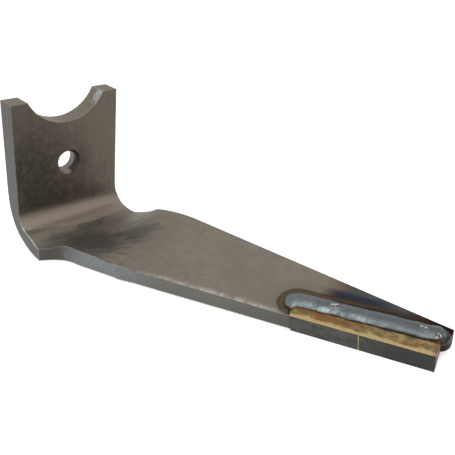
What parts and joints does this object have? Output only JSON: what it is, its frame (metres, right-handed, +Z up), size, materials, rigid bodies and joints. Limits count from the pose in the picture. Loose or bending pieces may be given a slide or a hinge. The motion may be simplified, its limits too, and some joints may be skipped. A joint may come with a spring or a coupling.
{
  "type": "harrow tine",
  "caption": "Bent and twisted steel harrow tine with a notched bolt flange, brazed carbide edge plates and a weld bead.",
  "frame": {"origin": "middle of the bounding box, at the height of the surface that the tine lies on", "axes": "+Z up as the tine lies on its bend and its leading edge, -Y from the flange towards the tip, X across the flange"},
  "size_m": [0.1138, 0.3502, 0.1336],
  "materials": {
    "raw_steel": "raw rolled and forged, dull",
    "carbide": "sintered, dull dark grey",
    "braze": "as brazed, oxidised",
    "weld_steel": "as welded, satin"
  },
  "bodies": {
    "root": {"tine_body": "raw_steel", "carbide_plate_inner": "carbide", "carbide_plate_outer": "carbide", "braze_filler": "braze", "weld_bead": "weld_steel"}
  },
  "joints": []
}
